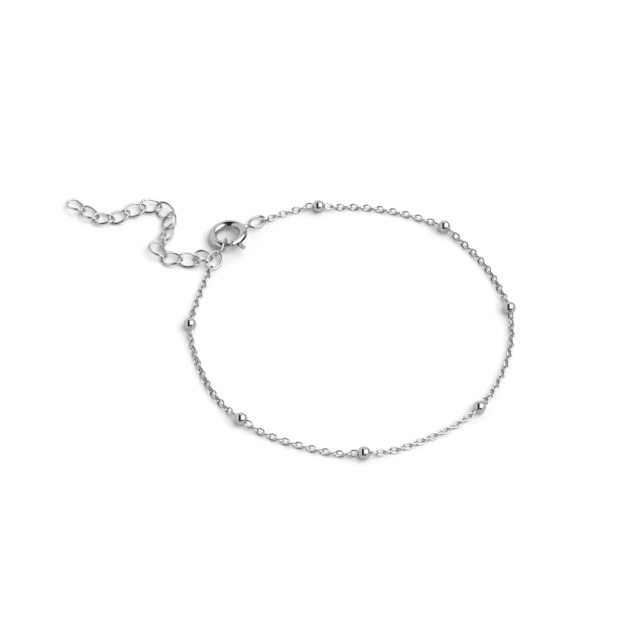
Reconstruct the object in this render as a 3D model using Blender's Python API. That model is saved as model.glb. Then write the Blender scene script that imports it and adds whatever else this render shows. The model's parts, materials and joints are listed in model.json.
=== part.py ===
"""Beaded chain bracelet with a spring ring clasp and an extender, lying closed on a flat surface.

The bracelet lies on the plane z = 0. Plan positions are first given from the loop's centre, and at
the end every piece moves so that the middle of the whole bracelet's box stands at the origin.
"""
import math

import bmesh
import bpy
from mathutils import Matrix, Vector

# Beads, each with a small flat that it rests on
BEAD_DIAMETER = 0.00200
BEAD_FLAT_DEPTH = 0.00002
BEAD_SIDES = 10
BEAD_RINGS = 6

# Cable chain: oval links of round wire, turned a quarter from one to the next; the first stretch is
# pulled a little longer
LINK_PITCH = 0.001058
START_PITCH = 0.001100
LINK_WIDTH = 0.00118
LINK_WIRE = 0.00027
LINK_JOINT = 0.00002
LINK_ROLL = math.radians(45)
LINK_SEGMENTS = 10
WIRE_SIDES = 5
CHORD = math.cos(math.pi / LINK_SEGMENTS)
LINK_LENGTH = (LINK_PITCH + LINK_JOINT) / CHORD + LINK_WIRE * (1 + math.cos(math.pi / WIRE_SIDES))
LINK_REST_HEIGHT = (LINK_WIDTH - LINK_WIRE) / 2 * math.sin(LINK_ROLL) + LINK_WIRE / 2

# Where a chain meets a bead: the soldered link, then a link that hangs in it with a small gap; the
# chain rises to each bead's middle, and to the height of the eye that its first link hangs in, where
# that link stands more upright
PIECE_GAP = 0.00006
BEAD_TO_LINK = 0.00152
SOLDERED_STEP = LINK_PITCH + LINK_JOINT - PIECE_GAP
BEAD_LIFT_REACH = 0.0030
START_HEIGHT = 0.00060
START_ROLL = math.radians(-75)

# Stretches of chain in order from the clasp: links, those soldered to beads among them, and the side
# to which the first one is rolled
STRETCHES = (
    (8, -1),
    (18, 1),
    (17, -1),
    (18, 1),
    (17, 1),
    (17, -1),
    (18, 1),
    (11, -1),
)

# Course of the chain: bearing from the loop's centre in degrees, and distance from it in metres
COURSE = (
    (126.0, 0.0262),
    (122.0, 0.0260),
    (118.5, 0.0260),
    (113.8, 0.0260),
    (108.8, 0.02592),
    (104.8, 0.02577),
    (101.7, 0.0253),
    (92.0, 0.0251),
    (77.0, 0.0250),
    (64.0, 0.0251),
    (53.5, 0.0252),
    (43.0, 0.0247),
    (32.0, 0.0245),
    (19.0, 0.0244),
    (7.3, 0.0247),
    (-8.0, 0.0247),
    (-22.0, 0.0247),
    (-32.0, 0.0249),
    (-40.5, 0.0252),
    (-52.0, 0.0248),
    (-64.0, 0.0247),
    (-77.0, 0.0250),
    (-86.1, 0.0252),
    (-96.0, 0.0250),
    (-108.0, 0.0247),
    (-120.0, 0.0249),
    (-131.2, 0.0251),
    (-146.0, 0.0250),
    (-160.0, 0.0247),
    (-170.0, 0.0248),
    (-179.4, 0.0250),
    (-191.0, 0.0246),
    (-201.0, 0.0247),
    (-212.0, 0.0254),
)
FIRST_BEAD_BEARING = 101.75
COURSE_STEP = 0.25

# Clasp: a hollow spring ring that lies on its far side, its near and right sides propped up
CLASP_CENTRE = Vector((-0.01953, 0.01846, 0.00113))
CLASP_TILT = math.radians(-5)
CLASP_LEAN = math.radians(-9)
CLASP_RADIUS = 0.00245
CLASP_TUBE = 0.00068
CLASP_STEPS = 15
TUBE_SIDES = 8
GAP_START = math.radians(-100)
GAP_END = math.radians(-72)
BORE_RADIUS = 0.00046
BORE_END = math.radians(62)
POCKET_ANGLE = math.radians(12)
POCKET_PAST_END = math.radians(2)

# Bolt: the curved wire that closes the clasp's gap, moved by a lever through a slot in the tube
BOLT_RADIUS = 0.00033
BOLT_SIDES = 6
BOLT_START = GAP_START - math.radians(7)
BOLT_END = math.radians(-22)
BOLT_TRAVEL = math.radians(36)
LEVER_BEARING = math.radians(-51)
LEVER_RISE = math.radians(-2)
LEVER_STEM_RADIUS = 0.00022
LEVER_KNOB_RADIUS = 0.00038
LEVER_KNOB_START = 0.00085
LEVER_KNOB_END = 0.00180
STEM_SIDES = 6
KNOB_SIDES = 8
SLOT_HALF_HEIGHT = 0.00029
SLOT_MARGIN = math.radians(8)
SLOT_DEPTH = 0.00100
SLOT_STEPS = 3

# Eye soldered to the clasp, which the chain starts from, placed as the extender's links are
EYE_PLACE = (-0.01496, 0.02167, 0.00034, 48, 0, 4)
EYE_LENGTH = 0.00340
EYE_WIDTH = 0.00245
EYE_WIRE = 0.00042
SOLDER_CENTRE = Vector((-0.01664, 0.02043, 0.00096))
SOLDER_FORWARD = Vector((0.70, 0.63, -0.34))
SOLDER_LENGTH = 0.00140
SOLDER_WIDTH = 0.00084
SOLDER_SIDES = 8
SOLDER_RINGS = 5

# Jump ring at the chain's end
JUMP_LENGTH = 0.00366
JUMP_WIDTH = 0.00260
JUMP_WIRE = 0.00038

# Extender: larger oval links, twisted so that they lie flat through each other
EXTENDER_LENGTH = 0.00375
EXTENDER_WIDTH = 0.00270
EXTENDER_WIRE = 0.00038
EXTENDER_TWIST = 0.00024

# Extender links from the free end, each lying on the surface or on its neighbours: plan position, lift
# off the surface, and heading, roll and pitch in degrees
EXTENDER_LINKS = (
    (-0.04395, 0.02505, 0.00000, -40, -20, 0),
    (-0.04175, 0.02355, 0.00005, -40, -10, 0),
    (-0.03945, 0.02245, 0.00005, -5, -5, 0),
    (-0.03690, 0.02300, 0.00005, 30, 0, -5),
    (-0.03445, 0.02430, 0.00015, 25, 10, 0),
    (-0.03200, 0.02505, 0.00015, 0, 15, 5),
    (-0.02975, 0.02405, 0.00000, -45, 20, 0),
    (-0.02890, 0.02175, 0.00000, -90, 25, 0),
    (-0.02915, 0.01920, 0.00000, -105, 30, 0),
    (-0.02970, 0.01720, 0.00000, -95, 80, 5),
    (-0.03045, 0.01545, 0.00005, -45, -15, 10),
    (-0.02830, 0.01385, 0.00000, -15, 5, -5),
    (-0.02555, 0.01350, 0.00000, -5, 20, 5),
    (-0.02340, 0.01410, 0.00005, -45, -5, -15),
    (-0.02040, 0.01550, 0.00005, -115, 75, -5),
)
JUMP_PLACE = (-0.02155, 0.01340, 0.00010, 65, 20, -10)
REST_STEPS = 72

CHAIN_METAL = ("rhodium plated silver chain", (0.80, 0.80, 0.81, 1.0), 0.16)
BEAD_METAL = ("polished silver bead", (0.86, 0.86, 0.87, 1.0), 0.06)
CLASP_METAL = ("polished silver clasp", (0.82, 0.82, 0.83, 1.0), 0.10)
EXTENDER_METAL = ("polished silver extender", (0.80, 0.80, 0.81, 1.0), 0.16)
SHARP_ANGLE = math.radians(50)


def clear_scene():
    for item in list(bpy.data.objects):
        bpy.data.objects.remove(item, do_unlink=True)


def collection(name):
    made = bpy.data.collections.new(name)
    bpy.context.scene.collection.children.link(made)
    return made


def metal(spec):
    name, colour, roughness = spec
    material = bpy.data.materials.new(name)
    material.use_nodes = True
    shader = material.node_tree.nodes["Principled BSDF"]
    shader.inputs["Base Color"].default_value = colour
    shader.inputs["Metallic"].default_value = 1.0
    shader.inputs["Roughness"].default_value = roughness
    return material


def plan(bearing, distance):
    """The point at a bearing, in radians, and a distance from the loop's centre."""
    return Vector((distance * math.cos(bearing), distance * math.sin(bearing), 0.0))


def frame_at(place, forward, roll=0.0):
    """A frame at a place with X along forward and Y level, then rolled about X."""
    x_axis = forward.normalized()
    y_axis = Vector((0, 0, 1)).cross(x_axis).normalized()
    z_axis = x_axis.cross(y_axis)
    turned = Matrix((x_axis, y_axis, z_axis)).transposed().to_4x4()
    return Matrix.Translation(place) @ turned @ Matrix.Rotation(roll, 4, "X")


def lying_place(row, length, width, wire, twist=0.0):
    """The frame of an oval ring that lies, rolled and pitched, with its lowest wire at its lift."""
    x, y, lift, *degrees = row
    heading, roll, pitch = (math.radians(angle) for angle in degrees)
    tilted = Matrix.Rotation(pitch, 3, "Y") @ Matrix.Rotation(roll, 3, "X")
    drops = []
    for step in range(REST_STEPS):
        around = 2 * math.pi * step / REST_STEPS
        along = (length - wire) / 2 * math.cos(around)
        across = (width - wire) / 2 * math.sin(around)
        drops.append(-(tilted @ Vector((along, across, -twist * math.sin(2 * around)))).z)
    turned = Matrix.Rotation(heading, 4, "Z") @ tilted.to_4x4()
    return Matrix.Translation((x, y, lift + wire / 2 + max(drops))) @ turned


def oval_ring(name, length, width, wire, twist=0.0):
    """An oval ring of round wire with a flat inwards, its crowns bent up and down by twist."""
    bm = bmesh.new()
    bmesh.ops.create_circle(bm, cap_ends=False, segments=WIRE_SIDES, radius=wire / 2)
    upright = Matrix.Rotation(math.pi / 2, 4, "X") @ Matrix.Rotation(-math.pi / 2, 4, "Z")
    outwards = Matrix.Translation(((width - wire) / 2, 0, 0))
    turned = Matrix.Rotation(math.pi / LINK_SEGMENTS, 4, "Z")
    bmesh.ops.transform(bm, matrix=turned @ outwards @ upright, verts=bm.verts)
    bmesh.ops.spin(
        bm,
        geom=bm.verts[:] + bm.edges[:],
        cent=(0, 0, 0),
        axis=(0, 0, 1),
        angle=2 * math.pi,
        steps=LINK_SEGMENTS,
        use_merge=True,
    )
    bmesh.ops.recalc_face_normals(bm, faces=bm.faces)
    pull = (length - width) / 2
    for vertex in bm.verts:
        around = math.atan2(vertex.co.y, vertex.co.x)
        vertex.co.x += pull * math.cos(around)
        vertex.co.z -= twist * math.sin(2 * around)
    made = bpy.data.meshes.new(name)
    bm.to_mesh(made)
    bm.free()
    return made


def gather(name, mesh, places):
    """One mesh holding a copy of a mesh at each place."""
    bm = bmesh.new()
    for place in places:
        kept = len(bm.verts)
        bm.from_mesh(mesh)
        bmesh.ops.transform(bm, matrix=place, verts=bm.verts[kept:])
    made = bpy.data.meshes.new(name)
    bm.to_mesh(made)
    bm.free()
    return made


def crown_faces(link):
    """The two faces of a link, ahead and behind, that a neighbouring link's wire bears on."""
    middle = LINK_WIRE / WIRE_SIDES
    inward = [
        face
        for face in link.polygons
        if face.normal.x * face.center.x < 0 and abs(face.center.y) < middle and abs(face.center.z) < middle
    ]
    ahead = max(inward, key=lambda face: face.center.x)
    behind = min(inward, key=lambda face: face.center.x)
    return ahead.index, behind.index


def fused_links(name, link, places):
    """One mesh of links, each joined to the next where their crowns bear on each other."""
    ahead, behind = crown_faces(link)
    bm = bmesh.new()
    crowns = []
    for place in places:
        kept = len(bm.verts)
        first = len(bm.faces)
        bm.from_mesh(link)
        bmesh.ops.transform(bm, matrix=place, verts=bm.verts[kept:])
        bm.faces.ensure_lookup_table()
        crowns.append((bm.faces[first + ahead], bm.faces[first + behind]))
    for (leading, _), (_, trailing) in zip(crowns, crowns[1:]):
        rims = leading.edges[:] + trailing.edges[:]
        bmesh.ops.delete(bm, geom=[leading, trailing], context="FACES_ONLY")
        bmesh.ops.bridge_loops(bm, edges=rims)
    bmesh.ops.recalc_face_normals(bm, faces=bm.faces)
    made = bpy.data.meshes.new(name)
    bm.to_mesh(made)
    bm.free()
    return made


def add_piece(name, mesh, group, material):
    piece = bpy.data.objects.new(name, mesh)
    group.objects.link(piece)
    mesh.materials.clear()
    mesh.materials.append(material)
    mesh.shade_smooth()
    mesh.set_sharp_from_angle(angle=SHARP_ANGLE)
    return piece


def add_cutter(name, mesh, group):
    cutter = bpy.data.objects.new(name, mesh)
    group.objects.link(cutter)
    cutter.hide_render = True
    cutter.display_type = "WIRE"
    return cutter


def boolean(piece, cutter, operation):
    modifier = piece.modifiers.new(cutter.name, "BOOLEAN")
    modifier.operation = operation
    modifier.solver = "EXACT"
    modifier.object = cutter


def smooth_radius(bearing):
    """The course's distance from the loop's centre at a bearing in degrees, on a smooth curve."""
    rows = COURSE
    last = len(rows) - 2
    index = next((i for i in range(last) if bearing >= rows[i + 1][0]), last)
    before = rows[max(index - 1, 0)]
    start = rows[index]
    end = rows[index + 1]
    after = rows[min(index + 2, len(rows) - 1)]
    span = end[0] - start[0]
    t = (bearing - start[0]) / span
    slope_start = (end[1] - before[1]) / (end[0] - before[0]) * span
    slope_end = (after[1] - start[1]) / (after[0] - start[0]) * span
    return (
        (2 * t**3 - 3 * t**2 + 1) * start[1]
        + (t**3 - 2 * t**2 + t) * slope_start
        + (3 * t**2 - 2 * t**3) * end[1]
        + (t**3 - t**2) * slope_end
    )


class Course:
    """The chain's centre line in plan, measured by distance along it from the first bead."""

    def __init__(self):
        steps = round((COURSE[0][0] - COURSE[-1][0]) / COURSE_STEP)
        bearings = [COURSE[0][0] - COURSE_STEP * i for i in range(steps + 1)]
        self.points = [plan(math.radians(b), smooth_radius(b)) for b in bearings]
        self.marks = [0.0]
        for start, end in zip(self.points, self.points[1:]):
            self.marks.append(self.marks[-1] + (end - start).length)
        first = round((COURSE[0][0] - FIRST_BEAD_BEARING) / COURSE_STEP)
        origin = self.marks[first]
        self.marks = [mark - origin for mark in self.marks]

    def at(self, distance):
        index = next(i for i, mark in enumerate(self.marks[1:]) if mark >= distance)
        share = (distance - self.marks[index]) / (self.marks[index + 1] - self.marks[index])
        return self.points[index].lerp(self.points[index + 1], share)


def stretch_offsets(links, pitch, soldered_first, soldered_last):
    """Distances of a stretch's links from its first one, closer by a gap where a link is soldered."""
    offsets = [0.0]
    for index in range(1, links):
        beside_bead = (soldered_first and index == 1) or (soldered_last and index == links - 1)
        offsets.append(offsets[-1] + (SOLDERED_STEP if beside_bead else pitch))
    return offsets


def chain_layout():
    """Distances along the course of every bead, and of each stretch's links with their rolls."""
    last = len(STRETCHES) - 1
    beads = [0.0]
    stretches = []
    for index, (links, side) in enumerate(STRETCHES):
        pitch = START_PITCH if index == 0 else LINK_PITCH
        offsets = stretch_offsets(links, pitch, index > 0, index < last)
        if index == 0:
            start = -BEAD_TO_LINK - offsets[-1]
        else:
            start = beads[-1] + BEAD_TO_LINK
        rolls = [LINK_ROLL * side * (-1) ** i for i in range(links)]
        if index == 0:
            rolls[0] = START_ROLL
        stretches.append([(start + offset, roll) for offset, roll in zip(offsets, rolls)])
        if 0 < index < last:
            beads.append(start + offsets[-1] + BEAD_TO_LINK)
    return beads, stretches


def chain_height(distance, beads, start):
    """The chain's height: it lies on the surface and rises to each bead's middle and to the eye."""
    raised = [(bead, BEAD_DIAMETER / 2) for bead in beads] + [(start, START_HEIGHT)]
    height = LINK_REST_HEIGHT
    for place, top in raised:
        away = (abs(distance - place) - BEAD_DIAMETER / 2) / BEAD_LIFT_REACH
        rise = (1 - min(max(away, 0.0), 1.0)) ** 2
        height = max(height, LINK_REST_HEIGHT + (top - LINK_REST_HEIGHT) * rise)
    return height


def link_frames(course, beads, stretches):
    """The frame of each link, stretch by stretch, along the chord between its neighbours' contacts."""
    start = stretches[0][0][0]

    def point(distance):
        place = course.at(distance)
        place.z = chain_height(distance, beads, start)
        return place

    frames = []
    for stretch in stretches:
        row = []
        for distance, roll in stretch:
            ahead = point(distance + LINK_PITCH / 2)
            behind = point(distance - LINK_PITCH / 2)
            row.append(frame_at((ahead + behind) / 2, ahead - behind, roll))
        frames.append(row)
    return frames


def bead_mesh():
    """A ball with a small flat under it."""
    radius = BEAD_DIAMETER / 2
    bm = bmesh.new()
    bmesh.ops.create_uvsphere(bm, u_segments=BEAD_SIDES, v_segments=BEAD_RINGS, radius=radius)
    foot = Vector((0, 0, BEAD_FLAT_DEPTH - radius))
    cut = bmesh.ops.bisect_plane(
        bm, geom=bm.verts[:] + bm.edges[:] + bm.faces[:], plane_co=foot, plane_no=(0, 0, -1), clear_outer=True
    )
    rim = [item for item in cut["geom_cut"] if isinstance(item, bmesh.types.BMEdge)]
    bmesh.ops.edgeloop_fill(bm, edges=rim)
    bmesh.ops.translate(bm, vec=-foot, verts=bm.verts)
    made = bpy.data.meshes.new("bead")
    bm.to_mesh(made)
    bm.free()
    return made


def build_chain(group, cutters):
    """Seven beads with their soldered links, and eight stretches of free links fused into one body each."""
    beads, stretches = chain_layout()
    course = Course()
    frames = link_frames(course, beads, stretches)
    link = oval_ring("link", LINK_LENGTH, LINK_WIDTH, LINK_WIRE)
    ball = bead_mesh()
    chain_metal = metal(CHAIN_METAL)
    bead_metal = metal(BEAD_METAL)
    last = len(stretches) - 1
    for index, row in enumerate(frames):
        number = index + 1
        free = row[(1 if index > 0 else 0):(-1 if index < last else None)]
        add_piece(f"chain_{number}", fused_links(f"chain_{number}", link, free), group, chain_metal)
    for index, distance in enumerate(beads):
        number = index + 1
        place = Matrix.Translation(course.at(distance))
        piece = add_piece(f"bead_{number}", gather(f"bead_{number}", ball, [place]), group, bead_metal)
        soldered = [frames[index][-1], frames[index + 1][0]]
        links = add_cutter(f"bead_{number}_links", gather(f"soldered_{number}", link, soldered), cutters)
        boolean(piece, links, "UNION")


def clasp_frame():
    turned = Matrix.Rotation(CLASP_LEAN, 4, "Y") @ Matrix.Rotation(CLASP_TILT, 4, "X")
    return Matrix.Translation(CLASP_CENTRE) @ turned


def bent_bar(name, bar_radius, start, end, sides, step_angle):
    """A round bar bent along an arc of the clasp's ring, with closed ends and a flat side below."""
    steps = max(1, round((end - start) / step_angle))
    bm = bmesh.new()
    bmesh.ops.create_circle(bm, cap_ends=False, segments=sides, radius=bar_radius)
    turned = Matrix.Rotation(math.pi / sides, 4, "Z")
    upright = Matrix.Rotation(math.pi / 2, 4, "X")
    placed = Matrix.Rotation(start, 4, "Z") @ Matrix.Translation((CLASP_RADIUS, 0, 0)) @ upright @ turned
    bmesh.ops.transform(bm, matrix=placed, verts=bm.verts)
    bmesh.ops.spin(
        bm, geom=bm.verts[:] + bm.edges[:], cent=(0, 0, 0), axis=(0, 0, 1), angle=end - start, steps=steps
    )
    bmesh.ops.holes_fill(bm, edges=bm.edges[:], sides=sides)
    bmesh.ops.recalc_face_normals(bm, faces=bm.faces)
    made = bpy.data.meshes.new(name)
    bm.to_mesh(made)
    bm.free()
    return made


def slot_mesh():
    """The block that the lever's slot is cut with, bent along the tube and leaning up as the lever does."""
    start = LEVER_BEARING - SLOT_MARGIN
    end = LEVER_BEARING + BOLT_TRAVEL + SLOT_MARGIN
    bm = bmesh.new()
    bmesh.ops.create_grid(bm, x_segments=1, y_segments=1, size=0.5)
    block = Matrix.Diagonal((SLOT_DEPTH, 2 * SLOT_HALF_HEIGHT, 1, 1))
    outwards = Matrix.Translation((SLOT_DEPTH / 2, 0, 0))
    upright = Matrix.Rotation(math.pi / 2, 4, "X")
    leaning = Matrix.Rotation(-LEVER_RISE, 4, "Y")
    placed = Matrix.Rotation(start, 4, "Z") @ Matrix.Translation((CLASP_RADIUS, 0, 0)) @ leaning
    bmesh.ops.transform(bm, matrix=placed @ upright @ outwards @ block, verts=bm.verts)
    rim = [edge for edge in bm.edges if edge.is_boundary]
    bmesh.ops.delete(bm, geom=bm.faces[:], context="FACES_ONLY")
    bmesh.ops.spin(
        bm, geom=rim + bm.verts[:], cent=(0, 0, 0), axis=(0, 0, 1), angle=end - start, steps=SLOT_STEPS
    )
    bmesh.ops.holes_fill(bm, edges=bm.edges[:], sides=4)
    bmesh.ops.recalc_face_normals(bm, faces=bm.faces)
    made = bpy.data.meshes.new("slot")
    bm.to_mesh(made)
    bm.free()
    return made


def solder_mesh():
    """The oval drop of solder between the tube and the eye."""
    bm = bmesh.new()
    bmesh.ops.create_uvsphere(bm, u_segments=SOLDER_SIDES, v_segments=SOLDER_RINGS, radius=0.5)
    oval = Matrix.Diagonal((SOLDER_LENGTH, SOLDER_WIDTH, SOLDER_WIDTH, 1))
    bmesh.ops.transform(bm, matrix=frame_at(SOLDER_CENTRE, SOLDER_FORWARD) @ oval, verts=bm.verts)
    made = bpy.data.meshes.new("solder")
    bm.to_mesh(made)
    bm.free()
    return made


def rod_mesh(name, radius, start, end, sides):
    """A rod of the lever, from start to end out of the tube's middle."""
    bm = bmesh.new()
    bmesh.ops.create_cone(
        bm, cap_ends=True, segments=sides, radius1=radius, radius2=radius, depth=end - start
    )
    along_x = Matrix.Rotation(math.pi / 2, 4, "Y")
    pushed = Matrix.Translation(((start + end) / 2, 0, 0))
    placed = Matrix.Rotation(LEVER_BEARING, 4, "Z") @ Matrix.Translation((CLASP_RADIUS, 0, 0))
    leaning = Matrix.Rotation(-LEVER_RISE, 4, "Y")
    bmesh.ops.transform(bm, matrix=placed @ leaning @ pushed @ along_x, verts=bm.verts)
    made = bpy.data.meshes.new(name)
    bm.to_mesh(made)
    bm.free()
    return made


def build_clasp(group, cutters):
    """The spring ring's body with its eye, and the bolt that slides in it."""
    material = metal(CLASP_METAL)
    frame = clasp_frame()
    step = 2 * math.pi / CLASP_STEPS
    tube = bent_bar("tube", CLASP_TUBE, GAP_END, GAP_START + 2 * math.pi, TUBE_SIDES, step)
    body = add_piece("clasp_body", tube, group, material)
    body.matrix_world = frame

    eye_shape = (EYE_LENGTH, EYE_WIDTH, EYE_WIRE)
    eye = oval_ring("eye", *eye_shape)
    bore = bent_bar("bore", BORE_RADIUS, GAP_END - step / 4, BORE_END, TUBE_SIDES, step)
    pocket_end = GAP_START + POCKET_PAST_END
    pocket = bent_bar("pocket", BORE_RADIUS, GAP_START - POCKET_ANGLE, pocket_end, TUBE_SIDES, step)
    for name, mesh, place, operation in (
        ("clasp_eye", eye, lying_place(EYE_PLACE, *eye_shape), "UNION"),
        ("clasp_solder", solder_mesh(), Matrix.Identity(4), "UNION"),
        ("clasp_bore", bore, frame, "DIFFERENCE"),
        ("clasp_pocket", pocket, frame, "DIFFERENCE"),
        ("clasp_slot", slot_mesh(), frame, "DIFFERENCE"),
    ):
        cutter = add_cutter(name, mesh, cutters)
        cutter.matrix_world = place
        boolean(body, cutter, operation)

    wire = bent_bar("bolt", BOLT_RADIUS, BOLT_START, BOLT_END, BOLT_SIDES, step)
    bolt = add_piece("clasp_bolt", wire, group, material)
    bolt.matrix_world = frame
    stem = rod_mesh("stem", LEVER_STEM_RADIUS, 0.0, LEVER_KNOB_END - PIECE_GAP, STEM_SIDES)
    knob = rod_mesh("knob", LEVER_KNOB_RADIUS, LEVER_KNOB_START, LEVER_KNOB_END, KNOB_SIDES)
    for name, mesh in (("lever_stem", stem), ("lever_knob", knob)):
        cutter = add_cutter(name, mesh, cutters)
        cutter.matrix_world = frame
        boolean(bolt, cutter, "UNION")


def build_extender(group):
    """The jump ring and the extender's links, each a piece of its own."""
    material = metal(EXTENDER_METAL)
    ring_shape = (JUMP_LENGTH, JUMP_WIDTH, JUMP_WIRE)
    ring = oval_ring("jump_ring", *ring_shape)
    add_piece("jump_ring", gather("jump_ring", ring, [lying_place(JUMP_PLACE, *ring_shape)]), group, material)
    link_shape = (EXTENDER_LENGTH, EXTENDER_WIDTH, EXTENDER_WIRE, EXTENDER_TWIST)
    link = oval_ring("extender_link", *link_shape)
    for number, row in enumerate(EXTENDER_LINKS, start=1):
        name = f"extender_link_{number}"
        add_piece(name, gather(name, link, [lying_place(row, *link_shape)]), group, material)


def centre_box(pieces, items):
    """Moves all items so that the middle of the pieces' box stands over the origin."""
    bpy.context.view_layer.update()
    graph = bpy.context.evaluated_depsgraph_get()
    points = []
    for piece in pieces:
        shape = piece.evaluated_get(graph)
        points += [piece.matrix_world @ vertex.co for vertex in shape.data.vertices]
    across = [point.x for point in points]
    along = [point.y for point in points]
    middle = Vector(((min(across) + max(across)) / 2, (min(along) + max(along)) / 2, 0))
    for item in items:
        item.location -= middle


def main():
    clear_scene()
    group = collection("beaded_chain_bracelet")
    cutters = collection("cutters")
    build_chain(group, cutters)
    build_clasp(group, cutters)
    build_extender(group)
    centre_box(group.objects[:], group.objects[:] + cutters.objects[:])


main()
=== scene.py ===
"""The finished look of a beaded chain bracelet with a spring ring clasp and an extender.

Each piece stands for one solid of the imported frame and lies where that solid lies. Plan positions
are given from the loop's centre, in metres, and placed() moves a finished shape into the frame.
"""
import json
import math

import bmesh
import bpy
from mathutils import Matrix, Vector

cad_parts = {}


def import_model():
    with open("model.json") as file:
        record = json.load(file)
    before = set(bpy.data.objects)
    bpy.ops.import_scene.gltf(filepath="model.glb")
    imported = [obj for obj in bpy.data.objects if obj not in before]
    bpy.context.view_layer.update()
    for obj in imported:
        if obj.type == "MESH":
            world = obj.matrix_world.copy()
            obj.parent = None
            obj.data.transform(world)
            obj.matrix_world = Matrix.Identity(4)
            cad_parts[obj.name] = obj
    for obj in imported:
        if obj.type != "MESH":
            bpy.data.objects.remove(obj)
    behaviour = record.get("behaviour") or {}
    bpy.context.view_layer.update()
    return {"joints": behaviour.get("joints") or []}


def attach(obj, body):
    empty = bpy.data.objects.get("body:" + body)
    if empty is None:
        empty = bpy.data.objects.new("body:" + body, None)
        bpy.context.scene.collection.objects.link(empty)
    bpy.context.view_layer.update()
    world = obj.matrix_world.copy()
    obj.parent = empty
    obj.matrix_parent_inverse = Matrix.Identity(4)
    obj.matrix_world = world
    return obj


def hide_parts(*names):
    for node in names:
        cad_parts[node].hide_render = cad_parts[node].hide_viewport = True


# Beads, each with a small flat that it rests on
BEAD_DIAMETER = 0.00200
BEAD_FLAT_DEPTH = 0.00002
BEAD_SEGMENTS = 40
BEAD_RINGS = 24

# Cable chain: oval links of round wire, turned a quarter from one to the next; the first stretch is
# pulled a little longer
LINK_PITCH = 0.001058
START_PITCH = 0.001100
LINK_WIDTH = 0.00118
LINK_WIRE = 0.00027
LINK_LENGTH = 0.00162
LINK_ROLL = math.radians(45)
LINK_STEPS = 20
LINK_SIDES = 8
LINK_REST_HEIGHT = (LINK_WIDTH - LINK_WIRE) / 2 * math.sin(LINK_ROLL) + LINK_WIRE / 2

# Where the chain meets a bead or the clasp's eye
BEAD_TO_LINK = 0.00152
SOLDERED_STEP = 0.001018
BEAD_LIFT_REACH = 0.0030
START_HEIGHT = 0.00060
START_ROLL = math.radians(-75)
FILLET_WIDE = 0.00024
FILLET_NARROW = 0.00017
FILLET_START = 0.00090
FILLET_END = 0.00112
FILLET_SIDES = 24

# Stretches of chain in order from the clasp: links, those soldered to beads among them, and the side
# to which the first one is rolled
STRETCHES = (
    (8, -1),
    (18, 1),
    (17, -1),
    (18, 1),
    (17, 1),
    (17, -1),
    (18, 1),
    (11, -1),
)

# Course of the chain: bearing from the loop's centre in degrees, and distance from it in metres
COURSE = (
    (126.0, 0.0262),
    (122.0, 0.0260),
    (118.5, 0.0260),
    (113.8, 0.0260),
    (108.8, 0.02592),
    (104.8, 0.02577),
    (101.7, 0.0253),
    (92.0, 0.0251),
    (77.0, 0.0250),
    (64.0, 0.0251),
    (53.5, 0.0252),
    (43.0, 0.0247),
    (32.0, 0.0245),
    (19.0, 0.0244),
    (7.3, 0.0247),
    (-8.0, 0.0247),
    (-22.0, 0.0247),
    (-32.0, 0.0249),
    (-40.5, 0.0252),
    (-52.0, 0.0248),
    (-64.0, 0.0247),
    (-77.0, 0.0250),
    (-86.1, 0.0252),
    (-96.0, 0.0250),
    (-108.0, 0.0247),
    (-120.0, 0.0249),
    (-131.2, 0.0251),
    (-146.0, 0.0250),
    (-160.0, 0.0247),
    (-170.0, 0.0248),
    (-179.4, 0.0250),
    (-191.0, 0.0246),
    (-201.0, 0.0247),
    (-212.0, 0.0254),
)
FIRST_BEAD_BEARING = 101.75
COURSE_STEP = 0.25

# Clasp: a hollow spring ring
CLASP_CENTRE = Vector((-0.01953, 0.01846, 0.00113))
CLASP_TILT = math.radians(-5)
CLASP_LEAN = math.radians(-9)
CLASP_RADIUS = 0.00245
CLASP_TUBE = 0.00068
TUBE_SIDES = 24
TUBE_STEPS = 96
GAP_START = math.radians(-100)
GAP_END = math.radians(-72)
TUBE_STEP = (GAP_START + 2 * math.pi - GAP_END) / TUBE_STEPS
BORE_RADIUS = 0.00046
BORE_STEPS = 39
POCKET_STEPS = 4
SLOT_FIRST_STEP = 4
SLOT_LAST_STEP = 19
SLOT_HALF_SIDES = 2
SLOT_NEAREST = 0.8 * BORE_RADIUS
LIP = 0.00003
LIP_SEGMENTS = 2

# Bolt: the curved wire that closes the clasp's gap, and the lever that moves it
BOLT_RADIUS = 0.00033
BOLT_SIDES = 16
BOLT_STEPS = 28
BOLT_START = GAP_START - math.radians(7)
BOLT_END = math.radians(-22)
BOLT_TIP = 0.00012
BOLT_TIP_SEGMENTS = 3
LEVER_BEARING = math.radians(-51)
LEVER_RISE = math.radians(-2)
LEVER_SIDES = 24
LEVER_STEM_RADIUS = 0.00022
LEVER_KNOB_RADIUS = 0.00038
LEVER_KNOB_START = 0.00085
LEVER_KNOB_END = 0.00180
LEVER_EDGE = 0.00009
LEVER_EDGE_SEGMENTS = 3

# Eye soldered to the clasp, which the chain starts from, placed as the extender's links are
EYE_PLACE = (-0.01496, 0.02167, 0.00034, 48, 0, 4)
EYE_LENGTH = 0.00340
EYE_WIDTH = 0.00245
EYE_WIRE = 0.00042
SOLDER_CENTRE = Vector((-0.01664, 0.02043, 0.00096))
SOLDER_FORWARD = Vector((0.70, 0.63, -0.34))
SOLDER_LENGTH = 0.00140
SOLDER_WIDTH = 0.00080
SOLDER_SEGMENTS = 40
SOLDER_RINGS = 24

# Jump ring and extender links: larger rings of round wire
JUMP_LENGTH = 0.00366
JUMP_WIDTH = 0.00260
JUMP_WIRE = 0.00038
EXTENDER_LENGTH = 0.00375
EXTENDER_WIDTH = 0.00270
EXTENDER_WIRE = 0.00038
EXTENDER_TWIST = 0.00024
RING_STEPS = 48
RING_SIDES = 16

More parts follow.
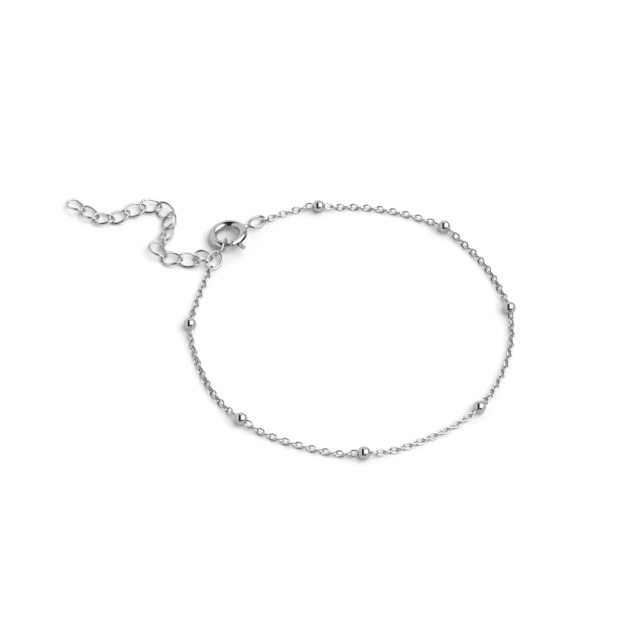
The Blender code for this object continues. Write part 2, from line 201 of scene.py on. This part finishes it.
# Extender links from the free end, each lying on the surface or on its neighbours: plan position, lift
# off the surface, and heading, roll and pitch in degrees
EXTENDER_LINKS = (
    (-0.04395, 0.02505, 0.00000, -40, -20, 0),
    (-0.04175, 0.02355, 0.00005, -40, -10, 0),
    (-0.03945, 0.02245, 0.00005, -5, -5, 0),
    (-0.03690, 0.02300, 0.00005, 30, 0, -5),
    (-0.03445, 0.02430, 0.00015, 25, 10, 0),
    (-0.03200, 0.02505, 0.00015, 0, 15, 5),
    (-0.02975, 0.02405, 0.00000, -45, 20, 0),
    (-0.02890, 0.02175, 0.00000, -90, 25, 0),
    (-0.02915, 0.01920, 0.00000, -105, 30, 0),
    (-0.02970, 0.01720, 0.00000, -95, 80, 5),
    (-0.03045, 0.01545, 0.00005, -45, -15, 10),
    (-0.02830, 0.01385, 0.00000, -15, 5, -5),
    (-0.02555, 0.01350, 0.00000, -5, 20, 5),
    (-0.02340, 0.01410, 0.00005, -45, -5, -15),
    (-0.02040, 0.01550, 0.00005, -115, 75, -5),
)
JUMP_PLACE = (-0.02155, 0.01340, 0.00010, 65, 20, -10)
REST_STEPS = 72

# Edges that turn by more than these angles are rounded, or shaded as sharp
ROUNDED_ANGLE = math.radians(50)
SHARP_ANGLE = math.radians(40)

# Silver of each material slot: name, colour, roughness, the most that gloss and tone change, how many
# marks there are in a metre, and how high they stand in metres
SILVERS = {
    "chain": ("plated chain silver", (0.43, 0.43, 0.435, 1.0), 0.10, 0.06, 0.10, 1500, 0.000004),
    "bead": ("mirror bead silver", (0.43, 0.43, 0.435, 1.0), 0.03, 0.04, 0.06, 900, 0.000002),
    "clasp": ("mirror clasp silver", (0.41, 0.41, 0.415, 1.0), 0.05, 0.05, 0.06, 700, 0.000003),
    "extender": ("bright link silver", (0.45, 0.45, 0.455, 1.0), 0.08, 0.05, 0.08, 900, 0.000003),
}
TONE_DETAIL = 3.0
MARK_FINENESS = 4.0
MARK_DETAIL = 5.0
MARK_DISTORTION = 1.5
MARK_STRENGTH = 0.4

# Camera, as the photograph was taken, and the studio round the bracelet
CAMERA_TARGET = Vector((0.005165, 0.001458, 0.0))
CAMERA_ELEVATION = math.radians(49.5)
CAMERA_DISTANCE = 0.450
CAMERA_LENS = 163.3
CAMERA_SENSOR = 36.0
CAMERA_CLIP = 0.01
FLOOR_SIZE = 3.0
FLOOR_GAP = 0.00001
FLOOR_COLOUR = 0.86
FLOOR_ROUGHNESS = 0.9
FLOOR_SPECULAR = 0.1

# White room round the bracelet, with the cards that hang in it, in the order that they cover each
# other. A card is given as a bead's face shows it to the camera: its middle across and up from the
# bead's middle, its half width and half height, all in bead radii, and its brightness.
ROOM_BRIGHTNESS = 1.25
ROOM_CARDS = (
    (0.32, 0.22, 0.37, 0.41, 0.28),
    (-0.21, 0.00, 0.15, 0.64, 0.03),
    (0.02, -0.29, 0.31, 0.09, 0.02),
    (0.29, 0.22, 0.27, 0.31, 2.90),
)
CARD_EDGE = 0.25


# Layout of the chain


def plan(bearing, distance):
    """The point at a bearing, in radians, and a distance from the loop's or the clasp's middle."""
    return Vector((distance * math.cos(bearing), distance * math.sin(bearing), 0.0))


def frame_at(place, forward, roll=0.0):
    """A frame at a place with X along forward and Y level, then rolled about X."""
    x_axis = forward.normalized()
    y_axis = Vector((0, 0, 1)).cross(x_axis).normalized()
    z_axis = x_axis.cross(y_axis)
    turned = Matrix((x_axis, y_axis, z_axis)).transposed().to_4x4()
    return Matrix.Translation(place) @ turned @ Matrix.Rotation(roll, 4, "X")


def lying_place(row, length, width, wire, twist=0.0):
    """The frame of an oval ring that lies, rolled and pitched, with its lowest wire at its lift."""
    x, y, lift, *degrees = row
    heading, roll, pitch = (math.radians(angle) for angle in degrees)
    tilted = Matrix.Rotation(pitch, 3, "Y") @ Matrix.Rotation(roll, 3, "X")
    drops = []
    for step in range(REST_STEPS):
        around = 2 * math.pi * step / REST_STEPS
        along = (length - wire) / 2 * math.cos(around)
        across = (width - wire) / 2 * math.sin(around)
        drops.append(-(tilted @ Vector((along, across, -twist * math.sin(2 * around)))).z)
    turned = Matrix.Rotation(heading, 4, "Z") @ tilted.to_4x4()
    return Matrix.Translation((x, y, lift + wire / 2 + max(drops))) @ turned


def smooth_radius(bearing):
    """The course's distance from the loop's centre at a bearing in degrees, on a smooth curve."""
    last = len(COURSE) - 2
    index = next((i for i in range(last) if bearing >= COURSE[i + 1][0]), last)
    before = COURSE[max(index - 1, 0)]
    start = COURSE[index]
    end = COURSE[index + 1]
    after = COURSE[min(index + 2, len(COURSE) - 1)]
    span = end[0] - start[0]
    t = (bearing - start[0]) / span
    slope_start = (end[1] - before[1]) / (end[0] - before[0]) * span
    slope_end = (after[1] - start[1]) / (after[0] - start[0]) * span
    return (
        (2 * t**3 - 3 * t**2 + 1) * start[1]
        + (t**3 - 2 * t**2 + t) * slope_start
        + (3 * t**2 - 2 * t**3) * end[1]
        + (t**3 - t**2) * slope_end
    )


class Course:
    """The chain's centre line in plan, measured by distance along it from the first bead."""

    def __init__(self):
        steps = round((COURSE[0][0] - COURSE[-1][0]) / COURSE_STEP)
        bearings = [COURSE[0][0] - COURSE_STEP * i for i in range(steps + 1)]
        self.points = [plan(math.radians(b), smooth_radius(b)) for b in bearings]
        marks = [0.0]
        for start, end in zip(self.points, self.points[1:]):
            marks.append(marks[-1] + (end - start).length)
        first = round((COURSE[0][0] - FIRST_BEAD_BEARING) / COURSE_STEP)
        self.marks = [mark - marks[first] for mark in marks]

    def at(self, distance):
        index = next(i for i, mark in enumerate(self.marks[1:]) if mark >= distance)
        share = (distance - self.marks[index]) / (self.marks[index + 1] - self.marks[index])
        return self.points[index].lerp(self.points[index + 1], share)


def stretch_offsets(links, pitch, soldered_first, soldered_last):
    """Distances of a stretch's links from its first one, closer where a link is soldered to a bead."""
    offsets = [0.0]
    for index in range(1, links):
        beside_bead = (soldered_first and index == 1) or (soldered_last and index == links - 1)
        offsets.append(offsets[-1] + (SOLDERED_STEP if beside_bead else pitch))
    return offsets


def chain_layout():
    """Distances along the course of every bead, and of each stretch's links with their rolls."""
    last = len(STRETCHES) - 1
    beads = [0.0]
    stretches = []
    for index, (links, side) in enumerate(STRETCHES):
        pitch = START_PITCH if index == 0 else LINK_PITCH
        offsets = stretch_offsets(links, pitch, index > 0, index < last)
        if index == 0:
            start = -BEAD_TO_LINK - offsets[-1]
        else:
            start = beads[-1] + BEAD_TO_LINK
        rolls = [LINK_ROLL * side * (-1) ** i for i in range(links)]
        if index == 0:
            rolls[0] = START_ROLL
        stretches.append([(start + offset, roll) for offset, roll in zip(offsets, rolls)])
        if 0 < index < last:
            beads.append(start + offsets[-1] + BEAD_TO_LINK)
    return beads, stretches


def chain_height(distance, beads, start):
    """The chain's height: it lies on the surface and rises to each bead's middle and to the eye."""
    raised = [(bead, BEAD_DIAMETER / 2) for bead in beads] + [(start, START_HEIGHT)]
    height = LINK_REST_HEIGHT
    for place, top in raised:
        away = (abs(distance - place) - BEAD_DIAMETER / 2) / BEAD_LIFT_REACH
        rise = (1 - min(max(away, 0.0), 1.0)) ** 2
        height = max(height, LINK_REST_HEIGHT + (top - LINK_REST_HEIGHT) * rise)
    return height


def link_frames(course, beads, stretches):
    """The frame of each link, stretch by stretch, along the chord between its neighbours' contacts."""
    start = stretches[0][0][0]

    def point(distance):
        place = course.at(distance)
        place.z = chain_height(distance, beads, start)
        return place

    frames = []
    for stretch in stretches:
        row = []
        for distance, roll in stretch:
            ahead = point(distance + LINK_PITCH / 2)
            behind = point(distance - LINK_PITCH / 2)
            row.append(frame_at((ahead + behind) / 2, ahead - behind, roll))
        frames.append(row)
    return frames


# Shapes


def wire_section(bm, radius, sides, turned, outwards):
    """Adds an upright circle, moved out along X and then turned, and returns its corners and edges."""
    corners = bmesh.ops.create_circle(bm, cap_ends=False, segments=sides, radius=radius)["verts"]
    upright = Matrix.Rotation(math.pi / 2, 4, "X")
    moved = Matrix.Rotation(turned, 4, "Z") @ Matrix.Translation((outwards, 0, 0))
    bmesh.ops.transform(bm, matrix=moved @ upright, verts=corners)
    return corners + [edge for edge in bm.edges if edge.verts[0] in corners]


def add_ring(bm, place, length, width, wire, steps, sides, twist=0.0):
    """Adds an oval ring of round wire at a place, its sides bent up and down by twist."""
    others = set(bm.verts)
    section = wire_section(bm, wire / 2, sides, 0.0, (width - wire) / 2)
    bmesh.ops.spin(
        bm, geom=section, cent=(0, 0, 0), axis=(0, 0, 1), angle=2 * math.pi, steps=steps, use_merge=True
    )
    ring = [vertex for vertex in bm.verts if vertex not in others]
    pull = (length - width) / 2
    for vertex in ring:
        around = math.atan2(vertex.co.y, vertex.co.x)
        vertex.co.x += pull * math.cos(around)
        vertex.co.z -= twist * math.sin(2 * around)
    bmesh.ops.transform(bm, matrix=place, verts=ring)


def add_links(bm, places):
    """Adds a fine chain link at each place."""
    for place in places:
        add_ring(bm, place, LINK_LENGTH, LINK_WIDTH, LINK_WIRE, LINK_STEPS, LINK_SIDES)


def add_ball(bm, place):
    """Adds a bead: a ball with a small flat under it, resting at height zero."""
    radius = BEAD_DIAMETER / 2
    made = bmesh.ops.create_uvsphere(bm, u_segments=BEAD_SEGMENTS, v_segments=BEAD_RINGS, radius=radius)
    bmesh.ops.translate(bm, vec=place + Vector((0, 0, radius - BEAD_FLAT_DEPTH)), verts=made["verts"])
    ball = bm.verts[:] + bm.edges[:] + bm.faces[:]
    cut = bmesh.ops.bisect_plane(
        bm, geom=ball, plane_co=(0, 0, 0), plane_no=(0, 0, -1), clear_outer=True
    )
    rim = [item for item in cut["geom_cut"] if isinstance(item, bmesh.types.BMEdge)]
    bmesh.ops.edgeloop_fill(bm, edges=rim)


def add_fillet(bm, middle, towards):
    """Adds the small cone of solder where a link runs into a bead."""
    away = (towards - middle).normalized()
    made = bmesh.ops.create_cone(
        bm,
        cap_ends=True,
        segments=FILLET_SIDES,
        radius1=FILLET_WIDE,
        radius2=FILLET_NARROW,
        depth=FILLET_END - FILLET_START,
    )
    turned = away.to_track_quat("Z", "Y").to_matrix().to_4x4()
    pushed = Matrix.Translation(middle + away * (FILLET_START + FILLET_END) / 2)
    bmesh.ops.transform(bm, matrix=pushed @ turned, verts=made["verts"])


def add_bar(bm, radius, sides, start, angle, steps):
    """Adds a round bar bent along the clasp's ring, and returns its first and last end face."""
    section = wire_section(bm, radius, sides, start, CLASP_RADIUS)
    bmesh.ops.spin(bm, geom=section, cent=(0, 0, 0), axis=(0, 0, 1), angle=angle, steps=steps)
    rims = [edge for edge in bm.edges if edge.is_boundary]
    ends = bmesh.ops.holes_fill(bm, edges=rims, sides=sides)["faces"]
    return sorted(ends, key=lambda face: (face.calc_center_median() - plan(start, CLASP_RADIUS)).length)


def hollow_end(bm, end, wall, angle, steps):
    """Opens a bar's end face into a bore that runs back along the ring by an angle."""
    bmesh.ops.inset_individual(bm, faces=[end], thickness=wall)
    bmesh.ops.spin(bm, geom=[end], cent=(0, 0, 0), axis=(0, 0, 1), angle=angle, steps=steps)


def tube_position(point):
    """A point's bearing round the clasp's ring, and its bearing and distance from the tube's middle."""
    out = math.hypot(point.x, point.y) - CLASP_RADIUS
    return math.atan2(point.y, point.x), math.atan2(point.z, out), math.hypot(point.z, out)


def cut_slot(bm):
    """Opens the lever's slot between the tube's outer wall and its bore."""
    first = GAP_END + SLOT_FIRST_STEP * TUBE_STEP
    last = GAP_END + SLOT_LAST_STEP * TUBE_STEP
    reach = SLOT_HALF_SIDES * 2 * math.pi / TUBE_SIDES
    cells = []
    for face in bm.faces:
        around, side, distance = tube_position(face.calc_center_median())
        if first < around < last and abs(side) < reach and distance > SLOT_NEAREST:
            cells.append(face)
    rims = [edge for face in cells for edge in face.edges if sum(f in cells for f in edge.link_faces) == 1]
    bmesh.ops.delete(bm, geom=cells, context="FACES")
    bmesh.ops.bridge_loops(bm, edges=[edge for edge in rims if edge.is_valid])


def round_edges(bm, offset, segments):
    """Rounds every sharp edge."""
    edges = [edge for edge in bm.edges if edge.is_manifold and edge.calc_face_angle() > ROUNDED_ANGLE]
    bmesh.ops.bevel(
        bm, geom=edges, offset=offset, segments=segments, profile=0.5, affect="EDGES", material=-1
    )


def clasp_frame():
    """The frame of the clasp's ring, its middle at the centre and its gap towards -Y."""
    turned = Matrix.Rotation(CLASP_LEAN, 4, "Y") @ Matrix.Rotation(CLASP_TILT, 4, "X")
    return Matrix.Translation(CLASP_CENTRE) @ turned


def clasp_tube():
    """The clasp's tube with its two open ends and the lever's slot."""
    bm = bmesh.new()
    first, last = add_bar(bm, CLASP_TUBE, TUBE_SIDES, GAP_END, TUBE_STEPS * TUBE_STEP, TUBE_STEPS)
    wall = CLASP_TUBE - BORE_RADIUS
    hollow_end(bm, first, wall, BORE_STEPS * TUBE_STEP, BORE_STEPS)
    hollow_end(bm, last, wall, -POCKET_STEPS * TUBE_STEP, POCKET_STEPS)
    cut_slot(bm)
    bmesh.ops.recalc_face_normals(bm, faces=bm.faces)
    round_edges(bm, LIP, LIP_SEGMENTS)
    return bm


def clasp_body():
    """The tube with the eye and the drop of solder between them."""
    bm = clasp_tube()
    bmesh.ops.transform(bm, matrix=clasp_frame(), verts=bm.verts)
    shape = (EYE_LENGTH, EYE_WIDTH, EYE_WIRE)
    add_ring(bm, lying_place(EYE_PLACE, *shape), *shape, RING_STEPS, RING_SIDES)
    drop = bmesh.ops.create_uvsphere(bm, u_segments=SOLDER_SEGMENTS, v_segments=SOLDER_RINGS, radius=0.5)
    oval = Matrix.Diagonal((SOLDER_LENGTH, SOLDER_WIDTH, SOLDER_WIDTH, 1))
    bmesh.ops.transform(bm, matrix=frame_at(SOLDER_CENTRE, SOLDER_FORWARD) @ oval, verts=drop["verts"])
    return bm


def add_rod(bm, radius, start, end):
    """Adds a rod of the lever with rounded ends, from start to end out of the tube's middle."""
    rod = bmesh.new()
    bmesh.ops.create_cone(
        rod, cap_ends=True, segments=LEVER_SIDES, radius1=radius, radius2=radius, depth=end - start
    )
    round_edges(rod, LEVER_EDGE, LEVER_EDGE_SEGMENTS)
    along_x = Matrix.Rotation(math.pi / 2, 4, "Y")
    pushed = Matrix.Translation(((start + end) / 2, 0, 0))
    placed = Matrix.Rotation(LEVER_BEARING, 4, "Z") @ Matrix.Translation((CLASP_RADIUS, 0, 0))
    leaning = Matrix.Rotation(-LEVER_RISE, 4, "Y")
    bmesh.ops.transform(rod, matrix=placed @ leaning @ pushed @ along_x, verts=rod.verts)
    part = bpy.data.meshes.new("rod")
    rod.to_mesh(part)
    rod.free()
    bm.from_mesh(part)
    bpy.data.meshes.remove(part)


def clasp_bolt():
    """The bolt's curved wire with rounded ends, and its lever."""
    bm = bmesh.new()
    add_bar(bm, BOLT_RADIUS, BOLT_SIDES, BOLT_START, BOLT_END - BOLT_START, BOLT_STEPS)
    bmesh.ops.recalc_face_normals(bm, faces=bm.faces)
    round_edges(bm, BOLT_TIP, BOLT_TIP_SEGMENTS)
    add_rod(bm, LEVER_STEM_RADIUS, 0.0, LEVER_KNOB_START + LEVER_EDGE)
    add_rod(bm, LEVER_KNOB_RADIUS, LEVER_KNOB_START, LEVER_KNOB_END)
    return bm


# Pieces


def add_piece(name, bm, place, node, slot, metals):
    """Makes a piece from a shape, moved to its place, that stands for one solid of the frame."""
    bmesh.ops.transform(bm, matrix=place, verts=bm.verts)
    bmesh.ops.recalc_face_normals(bm, faces=bm.faces)
    mesh = bpy.data.meshes.new(name)
    bm.to_mesh(mesh)
    bm.free()
    mesh.shade_smooth()
    mesh.set_sharp_from_angle(angle=SHARP_ANGLE)
    mesh.materials.append(metals[slot])
    piece = bpy.data.objects.new(name, mesh)
    bpy.context.scene.collection.objects.link(piece)
    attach(piece, "bolt" if node == "clasp_bolt" else "bracelet")
    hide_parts(node)


def build_chain(placed, metals):
    """The stretches of fine chain, and the beads with the links soldered to them."""
    beads, stretches = chain_layout()
    course = Course()
    frames = link_frames(course, beads, stretches)
    last = len(frames) - 1
    for index, row in enumerate(frames):
        free = row[(1 if index > 0 else 0):(-1 if index < last else None)]
        bm = bmesh.new()
        add_links(bm, free)
        number = index + 1
        add_piece(f"chain_links_{number}", bm, placed, f"chain_{number}", "chain", metals)
    for index, distance in enumerate(beads):
        middle = course.at(distance)
        soldered = (frames[index][-1], frames[index + 1][0])
        bm = bmesh.new()
        add_ball(bm, middle)
        middle.z = BEAD_DIAMETER / 2
        for link in soldered:
            add_fillet(bm, middle, link.translation)
        add_links(bm, soldered)
        number = index + 1
        add_piece(f"bead_ball_{number}", bm, placed, f"bead_{number}", "bead", metals)


def build_clasp(placed, metals):
    """The clasp's ring with its eye, and the bolt that slides in it."""
    add_piece("spring_ring", clasp_body(), placed, "clasp_body", "clasp", metals)
    add_piece("spring_bolt", clasp_bolt(), placed @ clasp_frame(), "clasp_bolt", "clasp", metals)


def build_extender(placed, metals):
    """The jump ring and the extender's links, each a piece of its own."""
    bm = bmesh.new()
    shape = (JUMP_LENGTH, JUMP_WIDTH, JUMP_WIRE)
    add_ring(bm, lying_place(JUMP_PLACE, *shape), *shape, RING_STEPS, RING_SIDES)
    add_piece("end_ring", bm, placed, "jump_ring", "extender", metals)
    shape = (EXTENDER_LENGTH, EXTENDER_WIDTH, EXTENDER_WIRE)
    for number, row in enumerate(EXTENDER_LINKS, start=1):
        bm = bmesh.new()
        place = lying_place(row, *shape, EXTENDER_TWIST)
        add_ring(bm, place, *shape, RING_STEPS, RING_SIDES, EXTENDER_TWIST)
        node = f"extender_link_{number}"
        add_piece(f"extender_ring_{number}", bm, placed, node, "extender", metals)


# Materials


def polish_group():
    """Fine wear of polished silver: a change of tone, of gloss, and hairline marks and dimples."""
    group = bpy.data.node_groups.new("fine polish", "ShaderNodeTree")
    face = group.interface
    for name in ("Marks in a Metre", "Tone Change", "Gloss Change", "Roughness"):
        face.new_socket(name, in_out="INPUT", socket_type="NodeSocketFloat").min_value = 0.0
    face.new_socket("Colour", in_out="INPUT", socket_type="NodeSocketColor")
    face.new_socket("Colour", in_out="OUTPUT", socket_type="NodeSocketColor")
    face.new_socket("Roughness", in_out="OUTPUT", socket_type="NodeSocketFloat")
    face.new_socket("Height", in_out="OUTPUT", socket_type="NodeSocketFloat")
    nodes = group.nodes
    links = group.links
    given = nodes.new("NodeGroupInput")
    result = nodes.new("NodeGroupOutput")
    where = nodes.new("ShaderNodeTexCoord")

    tone = nodes.new("ShaderNodeTexNoise")
    tone.inputs["Detail"].default_value = TONE_DETAIL
    links.new(where.outputs["Object"], tone.inputs["Vector"])
    links.new(given.outputs["Marks in a Metre"], tone.inputs["Scale"])

    signed = nodes.new("ShaderNodeMath")
    signed.operation = "SUBTRACT"
    signed.inputs[1].default_value = 0.5
    links.new(tone.outputs["Fac"], signed.inputs[0])
    factor = nodes.new("ShaderNodeMath")
    factor.operation = "MULTIPLY_ADD"
    factor.inputs[2].default_value = 1.0
    links.new(signed.outputs[0], factor.inputs[0])
    links.new(given.outputs["Tone Change"], factor.inputs[1])
    shaded = nodes.new("ShaderNodeVectorMath")
    shaded.operation = "SCALE"
    links.new(given.outputs["Colour"], shaded.inputs[0])
    links.new(factor.outputs[0], shaded.inputs["Scale"])
    links.new(shaded.outputs[0], result.inputs["Colour"])

    finer = nodes.new("ShaderNodeMath")
    finer.operation = "MULTIPLY"
    finer.inputs[1].default_value = MARK_FINENESS
    links.new(given.outputs["Marks in a Metre"], finer.inputs[0])
    marks = nodes.new("ShaderNodeTexNoise")
    marks.inputs["Detail"].default_value = MARK_DETAIL
    marks.inputs["Distortion"].default_value = MARK_DISTORTION
    links.new(where.outputs["Object"], marks.inputs["Vector"])
    links.new(finer.outputs[0], marks.inputs["Scale"])
    gloss = nodes.new("ShaderNodeMath")
    gloss.operation = "MULTIPLY_ADD"
    links.new(marks.outputs["Fac"], gloss.inputs[0])
    links.new(given.outputs["Gloss Change"], gloss.inputs[1])
    links.new(given.outputs["Roughness"], gloss.inputs[2])
    links.new(gloss.outputs[0], result.inputs["Roughness"])
    links.new(marks.outputs["Fac"], result.inputs["Height"])
    return group


def silver(group, name, colour, roughness, gloss_change, tone_change, marks, relief):
    """A polished silver whose tone, gloss and relief come from the shared wear."""
    material = bpy.data.materials.new(name)
    material.use_nodes = True
    nodes = material.node_tree.nodes
    links = material.node_tree.links
    shader = nodes["Principled BSDF"]
    shader.inputs["Metallic"].default_value = 1.0
    wear = nodes.new("ShaderNodeGroup")
    wear.node_tree = group
    wear.inputs["Marks in a Metre"].default_value = marks
    wear.inputs["Tone Change"].default_value = tone_change
    wear.inputs["Gloss Change"].default_value = gloss_change
    wear.inputs["Roughness"].default_value = roughness
    wear.inputs["Colour"].default_value = colour
    bump = nodes.new("ShaderNodeBump")
    bump.inputs["Strength"].default_value = MARK_STRENGTH
    bump.inputs["Distance"].default_value = relief
    links.new(wear.outputs["Colour"], shader.inputs["Base Color"])
    links.new(wear.outputs["Roughness"], shader.inputs["Roughness"])
    links.new(wear.outputs["Height"], bump.inputs["Height"])
    links.new(bump.outputs["Normal"], shader.inputs["Normal"])
    return material


def paper_white():
    """The matt white of the surface that the bracelet lies on."""
    material = bpy.data.materials.new("white surface")
    material.use_nodes = True
    shader = material.node_tree.nodes["Principled BSDF"]
    shader.inputs["Base Color"].default_value = (FLOOR_COLOUR, FLOOR_COLOUR, FLOOR_COLOUR, 1.0)
    shader.inputs["Roughness"].default_value = FLOOR_ROUGHNESS
    shader.inputs["Specular IOR Level"].default_value = FLOOR_SPECULAR
    return material


# Studio


def build_floor():
    """The wide white surface, just under the bracelet."""
    bm = bmesh.new()
    bmesh.ops.create_grid(bm, x_segments=1, y_segments=1, size=FLOOR_SIZE / 2)
    bmesh.ops.translate(bm, vec=(0, 0, -FLOOR_GAP), verts=bm.verts)
    mesh = bpy.data.meshes.new("floor")
    bm.to_mesh(mesh)
    bm.free()
    mesh.materials.append(paper_white())
    floor = bpy.data.objects.new("floor", mesh)
    bpy.context.scene.collection.objects.link(floor)


def camera_axes():
    """The directions from the target back to the camera and up in its picture."""
    back = Vector((0, -math.cos(CAMERA_ELEVATION), math.sin(CAMERA_ELEVATION)))
    up = Vector((0, math.sin(CAMERA_ELEVATION), math.cos(CAMERA_ELEVATION)))
    return back, up


def vector_step(nodes, links, operation, first, second=None):
    """Adds a Vector Math node that works on an output, with another output or a fixed value."""
    step = nodes.new("ShaderNodeVectorMath")
    step.operation = operation
    links.new(first, step.inputs[0])
    if isinstance(second, bpy.types.NodeSocket):
        links.new(second, step.inputs[1])
    elif second is not None:
        step.inputs[1].default_value = second
    return step.outputs["Value" if operation == "DOT_PRODUCT" else "Vector"]


def build_room():
    """The room as the light of the world: white, with a bright panel and dark cards."""
    world = bpy.data.worlds.new("room")
    bpy.context.scene.world = world
    world.use_nodes = True
    nodes = world.node_tree.nodes
    links = world.node_tree.links
    background = nodes["Background"]
    where = nodes.new("ShaderNodeTexCoord")
    back, up = camera_axes()
    halfway = vector_step(nodes, links, "ADD", where.outputs["Generated"], back)
    facing = vector_step(nodes, links, "NORMALIZE", halfway)
    picture = nodes.new("ShaderNodeCombineXYZ")
    links.new(vector_step(nodes, links, "DOT_PRODUCT", facing, (1, 0, 0)), picture.inputs["X"])
    links.new(vector_step(nodes, links, "DOT_PRODUCT", facing, up), picture.inputs["Y"])

    room_white = (ROOM_BRIGHTNESS, ROOM_BRIGHTNESS, ROOM_BRIGHTNESS, 1.0)
    colour = None
    for across, above, half_width, half_height, brightness in ROOM_CARDS:
        offset = vector_step(nodes, links, "SUBTRACT", picture.outputs["Vector"], (across, above, 0))
        share = vector_step(nodes, links, "DIVIDE", offset, (half_width, half_height, 1))
        square = vector_step(nodes, links, "MULTIPLY", share, share)
        rounded = vector_step(nodes, links, "MULTIPLY", square, square)
        mask = nodes.new("ShaderNodeMapRange")
        mask.interpolation_type = "SMOOTHSTEP"
        mask.inputs["From Min"].default_value = 1 + CARD_EDGE
        mask.inputs["From Max"].default_value = 1 - CARD_EDGE
        links.new(vector_step(nodes, links, "DOT_PRODUCT", rounded, (1, 1, 0)), mask.inputs["Value"])
        mix = nodes.new("ShaderNodeMix")
        mix.data_type = "RGBA"
        mix.inputs["A"].default_value = room_white
        mix.inputs["B"].default_value = (brightness, brightness, brightness, 1.0)
        links.new(mask.outputs["Result"], mix.inputs["Factor"])
        if colour is not None:
            links.new(colour, mix.inputs["A"])
        colour = mix.outputs["Result"]
    links.new(colour, background.inputs["Color"])


def build_camera():
    """The camera at the photograph's angle, with plain display of colours."""
    data = bpy.data.cameras.new("camera")
    data.lens = CAMERA_LENS
    data.sensor_width = CAMERA_SENSOR
    data.clip_start = CAMERA_CLIP
    camera = bpy.data.objects.new("camera", data)
    bpy.context.scene.collection.objects.link(camera)
    back = camera_axes()[0]
    camera.location = CAMERA_TARGET + back * CAMERA_DISTANCE
    camera.rotation_euler = back.to_track_quat("Z", "Y").to_euler()
    bpy.context.scene.camera = camera
    bpy.context.scene.view_settings.view_transform = "Standard"


def main():
    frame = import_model()
    build_camera()
    hinge = Vector(frame["joints"][0]["pos_m"])
    placed = Matrix.Translation((hinge.x - CLASP_CENTRE.x, hinge.y - CLASP_CENTRE.y, 0))
    polish = polish_group()
    metals = {slot: silver(polish, *finish) for slot, finish in SILVERS.items()}
    build_chain(placed, metals)
    build_clasp(placed, metals)
    build_extender(placed, metals)
    build_floor()
    build_room()


main()
